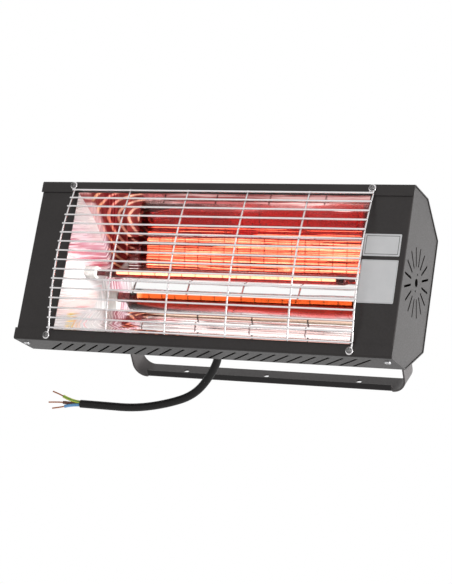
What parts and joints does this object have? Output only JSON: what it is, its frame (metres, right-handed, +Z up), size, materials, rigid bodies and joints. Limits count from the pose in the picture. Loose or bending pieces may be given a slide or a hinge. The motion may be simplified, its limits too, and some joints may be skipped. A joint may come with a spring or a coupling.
{
  "type": "wall infrared heater",
  "caption": "Wall infrared heater: a painted steel housing with a ruby lamp in a polished trough behind a wire guard, tilting on a U bracket.",
  "frame": {"origin": "wall face of the bracket, midway between its two outer screw holes", "axes": "+X along the width, +Y into the wall, -Y into the room, +Z up"},
  "size_m": [0.4698, 0.278, 0.1846],
  "materials": {
    "case_paint": "satin fine-textured powder coat",
    "bracket_paint": "satin powder coat",
    "case_screw_steel": "zinc plated",
    "pivot_steel": "zinc plated",
    "earth_steel": "zinc plated",
    "friction_fibre": "pressed fibre",
    "mirror_sheet": "bright anodised mirror",
    "ruby_quartz": "clear ruby",
    "filament_wire": "bare tungsten coil",
    "support_wire": "bare wire",
    "lamp_ceramic": "unglazed ceramic",
    "contact_metal": "nickel plated",
    "holder_ceramic": "unglazed ceramic",
    "inner_steel": "zinc plated",
    "guard_chrome": "bright",
    "guard_screw_steel": "bright",
    "plate_silver": "satin foil",
    "cord_rubber": "smooth matt",
    "bushing_nylon": "matt",
    "core_green_yellow": "striped green and yellow",
    "core_brown": "smooth",
    "core_blue": "smooth",
    "copper": "bare stranded copper",
    "block_plastic": "heat resistant moulding",
    "terminal_brass": "plain",
    "lead_sleeve": "glass fibre sleeve"
  },
  "bodies": {
    "bracket": {"wall_bracket": "bracket_paint", "pivot_bolts": "pivot_steel", "pivot_washers": "pivot_steel", "pivot_nuts": "pivot_steel"},
    "housing": {"bushing_nut": "bushing_nylon", "case_screws": "case_screw_steel", "cord_bushing": "bushing_nylon", "cord_jacket": "cord_rubber", "core_conductors": "copper", "core_earth": "core_green_yellow", "core_live": "core_brown", "core_neutral": "core_blue", "ear_rivets": "pivot_steel", "earth_lead": "core_green_yellow", "earth_nut": "earth_steel", "earth_stud": "earth_steel", "end_cap_left": "case_paint", "end_cap_right": "case_paint", "filament_supports": "support_wire", "friction_washers": "friction_fibre", "guard_bars": "guard_chrome", "guard_screws": "guard_screw_steel", "guard_uprights": "guard_chrome", "hinge_ear_left": "bracket_paint", "hinge_ear_right": "bracket_paint", "holder_block_left": "holder_ceramic", "holder_block_right": "holder_ceramic", "holder_bracket_left": "inner_steel", "holder_bracket_right": "inner_steel", "holder_screws": "case_screw_steel", "housing_shell": "case_paint", "lamp_buttons": "contact_metal", "lamp_caps": "lamp_ceramic", "lamp_filament": "filament_wire", "lamp_leads": "lead_sleeve", "lamp_pins": "support_wire", "lamp_tube": "ruby_quartz", "plate_large": "plate_silver", "plate_small": "plate_silver", "reflector_end_left": "mirror_sheet", "reflector_end_right": "mirror_sheet", "reflector_trough": "mirror_sheet", "supply_cores": "lead_sleeve", "terminal_block": "block_plastic", "terminal_screws": "terminal_brass"},
    "contact_left": {"contact_plunger_left": "contact_metal"},
    "contact_right": {"contact_plunger_right": "contact_metal"}
  },
  "joints": [
    {"name": "tilt", "type": "hinge", "parent": "bracket", "child": "housing", "pos_m": [0, -0.1404, -0.00125], "axis": [1, 0, 0], "range_deg": [-45, 10]},
    {"name": "left_contact", "type": "slide", "parent": "housing", "child": "contact_left", "axis": [-1, 0, 0], "range_m": [0, 0.003], "stiffness_N_per_m": 1000, "springref_m": -0.002},
    {"name": "right_contact", "type": "slide", "parent": "housing", "child": "contact_right", "axis": [1, 0, 0], "range_m": [0, 0.003], "stiffness_N_per_m": 1000, "springref_m": -0.002}
  ]
}
